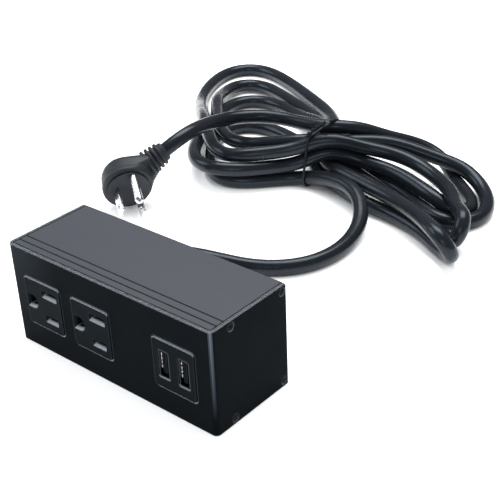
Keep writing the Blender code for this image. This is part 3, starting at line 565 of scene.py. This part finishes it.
def turned_mesh(name, profile, matrix, steps=48):
    """Profile of (radius, height) points turned about the matrix's local Z."""
    shape = bmesh.new()
    rings = []
    for radius, height in profile:
        ring = []
        for i in range(steps):
            angle = 2 * math.pi * i / steps
            ring.append(shape.verts.new((radius * math.cos(angle), radius * math.sin(angle), height)))
        rings.append(ring)
    for lower, upper in zip(rings, rings[1:]):
        for i in range(steps):
            j = (i + 1) % steps
            shape.faces.new((lower[i], lower[j], upper[j], upper[i]))
    shape.faces.new(rings[0][::-1])
    shape.faces.new(rings[-1])
    bmesh.ops.recalc_face_normals(shape, faces=shape.faces)
    bmesh.ops.transform(shape, matrix=matrix, verts=shape.verts)
    mesh = bpy.data.meshes.new(name)
    shape.to_mesh(mesh)
    shape.free()
    mesh.shade_smooth()
    mesh.set_sharp_from_angle(angle=math.radians(50))
    return mesh


def along(direction, origin):
    turn = Vector((0, 0, 1)).rotation_difference(Vector(direction))
    return Matrix.Translation(origin) @ turn.to_matrix().to_4x4()


def plug_matrix(depth=0.0):
    """Local Z runs along the pins and local Y towards the ground pin; depth is ahead of the face."""
    up = (GROUND_HINT - GROUND_HINT.dot(PIN_DIRECTION) * PIN_DIRECTION).normalized()
    side = up.cross(PIN_DIRECTION)
    origin = PLUG_CENTRE + depth * PIN_DIRECTION
    rows = [(side[i], up[i], PIN_DIRECTION[i], origin[i]) for i in range(3)]
    return Matrix((*rows, (0, 0, 0, 1)))


def teardrop(radius, tail_radius, tail, steps=72):
    """Outline round a disc at the origin and a smaller one at (0, tail)."""
    lean = math.asin((radius - tail_radius) / tail)
    points = []
    for i in range(steps):
        angle = 2 * math.pi * i / steps
        toward = abs((angle - math.pi / 2 + math.pi) % (2 * math.pi) - math.pi)
        if toward < math.pi / 2 - lean:
            points.append((tail_radius * math.cos(angle), tail + tail_radius * math.sin(angle)))
        else:
            points.append((radius * math.cos(angle), radius * math.sin(angle)))
    return points


def plug_body_mesh():
    """Right-angle plug: a round face on a domed body, whose neck leans into the strain relief."""
    local = plug_matrix()
    to_local = local.inverted()
    cord = to_local.to_3x3() @ CORD_DIRECTION
    spin = Matrix.Rotation(math.atan2(cord.y, cord.x) - math.pi / 2, 4, "Z")
    layers = ((-0.0015, 0.86), (-0.0015, 0.955), (-0.0022, 0.99), (-0.0032, 1.0), (-0.0046, 1.0),
              (-0.0050, 0.972), (-0.0056, 0.965), (-0.0095, 0.965), (-0.0125, 0.94), (-0.0146, 0.88),
              (-0.0160, 0.76), (-0.0167, 0.55), (-0.0169, 0.25))
    shape = bmesh.new()
    rings = []
    outline = teardrop(PLUG_DISC_RADIUS, PLUG_NECK_RADIUS, PLUG_NECK_REACH)
    for depth, scale in layers:
        lean = max(0.0, -depth - 0.005) * 0.30
        neck = min(1.0, max(0.0, (-depth - NECK_STARTS) / NECK_GROWS_OVER))
        ring = []
        for i, (x, y) in enumerate(outline):
            angle = 2 * math.pi * i / len(outline)
            x = neck * x + (1 - neck) * PLUG_DISC_RADIUS * math.cos(angle)
            y = neck * y + (1 - neck) * PLUG_DISC_RADIUS * math.sin(angle)
            tail = max(0.0, y) / (PLUG_NECK_RADIUS + PLUG_NECK_REACH)
            rise = -0.0012 * tail * tail if depth > -0.006 else 0.0022 * tail * (-depth - 0.006) / 0.011
            point = Vector((x * scale, y * scale + lean * tail, depth + rise))
            ring.append(shape.verts.new(local @ spin @ point))
        rings.append(ring)
    count = len(rings[0])
    for lower, upper in zip(rings, rings[1:]):
        for i in range(count):
            j = (i + 1) % count
            shape.faces.new((lower[i], lower[j], upper[j], upper[i]))
    shape.faces.new(rings[0][::-1])
    shape.faces.new(rings[-1])
    bmesh.ops.recalc_face_normals(shape, faces=shape.faces)
    mesh = bpy.data.meshes.new("plug_shell")
    shape.to_mesh(mesh)
    shape.free()
    mesh.shade_smooth()
    mesh.set_sharp_from_angle(angle=math.radians(55))
    return mesh


def relief_profile(start, end, inner, outer_start, outer_end, ribs, pitch):
    """Ribbed sleeve that narrows from the body to the cord."""
    profile = [(inner + 0.0012, start)]
    first = end - 0.0018 - ribs * pitch
    profile.append((inner + 0.0012, first - 0.0012))
    for i in range(ribs):
        low = first + i * pitch
        outer = outer_start + (outer_end - outer_start) * i / max(1, ribs - 1)
        profile += [(inner, low - 0.0003), (outer - 0.0003, low), (outer, low + 0.0004),
                    (outer, low + pitch * 0.52), (outer - 0.0003, low + pitch * 0.52 + 0.0003),
                    (inner, low + pitch * 0.52 + 0.0006)]
    return profile + [(inner, end - 0.0016), (inner - 0.0002, end - 0.0004), (CORD_R + 0.0002, end)]


def plug_piece(finish):
    body = piece("plug_shell", plug_body_mesh(), finish, "plug_pvc", "plug_body")
    base = PLUG_CENTRE - PLUG_AXIS_DEPTH * PIN_DIRECTION
    profile = relief_profile(0.0050, PLUG_REACH, 0.0056, 0.0080, 0.0069, 4, 0.0028)
    sleeve = turned_mesh("plug_relief", profile, along(CORD_DIRECTION, base))
    relief = piece("plug_relief", sleeve, finish, "plug_pvc")
    return body, relief


def bushing(finish):
    """Strain relief at the box: flange, collar and ribs over the cord."""
    profile = [(0.0056, -0.0030), (0.0073, -0.0030), (0.0073, -0.0019), (0.0060, -0.0018), (0.0060, 0.0002),
               (0.0078, 0.0003), (0.0080, 0.0006), (0.0080, 0.0018), (0.0076, 0.0023), (0.0068, 0.0026),
               (0.0066, 0.0040)]
    for i in range(5):
        low = 0.0046 + 0.0032 * i
        outer = 0.0066 - 0.00025 * i
        profile += [(outer, low), (outer - 0.0011, low + 0.0004), (outer - 0.0011, low + 0.0014),
                    (outer - 0.0001, low + 0.0018)]
    profile += [(0.0052, 0.0212), (0.0047, 0.0220), (CORD_R + 0.0001, 0.0220)]
    mesh = turned_mesh("box_bushing", profile, along((0, 1, 0), GLAND))
    return piece("box_bushing", mesh, finish, "plug_pvc", "cord_strain_relief")


# Twist tie

def hull(points):
    """Convex outline of flat points, anticlockwise."""
    ordered = sorted(points)
    halves = []
    for run in (ordered, ordered[::-1]):
        half = []
        for point in run:
            while len(half) > 1:
                (ax, ay), (bx, by) = half[-2], half[-1]
                if (bx - ax) * (point[1] - ay) - (by - ay) * (point[0] - ax) > 0:
                    break
                half.pop()
            half.append(point)
        halves += half[:-1]
    return halves


def tie_loop():
    """Line pulled tight round every run of cord at the tie."""
    rim = []
    for a, b in zip(LINE, LINE[1:]):
        if a[1] > 0.15 and (a[0] - TIE_X) * (b[0] - TIE_X) <= 0 and a[0] != b[0]:
            share = (TIE_X - a[0]) / (b[0] - a[0])
            _, y, z = a + share * (b - a)
            reach = CORD_R + 0.0007
            for i in range(24):
                angle = 2 * math.pi * i / 24
                rim.append((y + reach * math.cos(angle), max(z + reach * math.sin(angle), 0.0006)))
    outline = hull(rim)
    return [Vector((TIE_X + 0.30 * max(0.0, y - 0.190), y, z)) for y, z in outline]


def twist_tie(finish):
    """Flat plastic-covered wire round the hank, with its ends twisted together and bent over."""
    loop = tie_loop()
    curve = tube_curve("twist_tie", loop, TIE_WIRE_RADIUS, 3, closed=True)
    tie = piece("hank_tie", curve, finish, "line_pvc", "twist_tie")
    knot = min(loop, key=lambda p: (p.y - KNOT[0]) ** 2 + (p.z - KNOT[1]) ** 2)
    for label, phase in (("a", 0.0), ("b", math.pi)):
        points = []
        for i in range(61):
            t = i / 60
            angle = phase + 2 * math.pi * 2.6 * t
            spread = 0.0009 * (1 - 0.3 * t) + (0.0022 * max(0.0, t - 0.8) / 0.2)
            rise = 0.0012 + 0.0060 * math.sin(1.7 * t)
            middle = knot + Vector((-0.0015 + 0.0075 * t, -0.0012 + 0.0105 * t, rise))
            points.append(middle + Vector((0.3 * spread * math.cos(angle), spread * math.cos(angle),
                                           spread * math.sin(angle))))
        end = tube_curve(f"tie_end_{label}", points, TIE_END_RADIUS, 3)
        made = piece(f"tie_end_{label}", end, finish, "line_pvc")
        made["part_of"] = tie.name
    return tie


def usb_contacts(finish):
    """Rows of sprung strips along both faces of each tongue."""
    for label in ("left", "right"):
        low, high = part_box(f"usb_tongue_{label}")
        middle_z = (low[2] + high[2]) / 2
        shape = bmesh.new()
        for side in (low[0], high[0]):
            for shift in CONTACT_HEIGHTS:
                centre = Vector((side, low[1] + 0.0030, middle_z + shift))
                strip = bmesh.ops.create_cube(shape, size=1.0)["verts"]
                bmesh.ops.scale(shape, vec=CONTACT_STRIP, verts=strip)
                bmesh.ops.translate(shape, vec=centre, verts=strip)
        bmesh.ops.bevel(shape, geom=shape.edges[:], offset=0.00008, segments=1, affect="EDGES")
        mesh = bpy.data.meshes.new(f"usb_contacts_{label}")
        shape.to_mesh(mesh)
        shape.free()
        piece(f"usb_contacts_{label}", mesh, finish, "brass")


def springs(finish):
    """Coil springs behind the shutters, which in the real outlet shorten as the shutters rise; here each
    coil is fixed at its spring node's height.
    """
    for number in (1, 2):
        node = f"outlet_{number}_shutter_spring"
        low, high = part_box(node)
        centre = Vector(((low[0] + high[0]) / 2, (low[1] + high[1]) / 2, 0))
        points = []
        for i in range(121):
            t = i / 120
            angle = 2 * math.pi * COIL_TURNS * t
            height = low[2] + 0.00014 + (high[2] - low[2] - 0.00028) * t
            turned = (COIL_RADIUS * math.cos(angle), COIL_RADIUS * math.sin(angle), height)
            points.append(centre + Vector(turned))
        curve = tube_curve(f"shutter_coil_{number}", points, COIL_WIRE_RADIUS, 2)
        holder = bpy.data.objects.new("holder", curve)
        bpy.context.scene.collection.objects.link(holder)
        mesh = bpy.data.meshes.new_from_object(holder.evaluated_get(bpy.context.evaluated_depsgraph_get()))
        bpy.data.objects.remove(holder, do_unlink=True)
        mesh.shade_smooth()
        made = piece(f"shutter_coil_{number}", mesh, finish, "spring_steel", node)
        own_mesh(made)


camera()
studio()
paint_frame()
CORD_FINISH = jacket("cord_jacket", (0.0130, 0.0150, 0.0190), 0.24)
PLUG_FINISH = moulded("plug_pvc", (0.024, 0.028, 0.034), 0.50, 0.00003)
CORD = piece("mains_cord", tube_curve("mains_cord", LINE, CORD_R, 6), CORD_FINISH, "cord_pvc",
             "cord_box_lead", "cord_hank", "cord_plug_lead")
PLUG_PIECES = plug_piece(PLUG_FINISH)
BUSHING = bushing(PLUG_FINISH)
TIE = twist_tie(jacket("tie_pvc", (0.010, 0.011, 0.013), 0.38))
usb_contacts(metal("contact_nickel", (0.86, 0.87, 0.88), 0.25))
springs(metal("spring_wire", (0.55, 0.55, 0.57), 0.25))
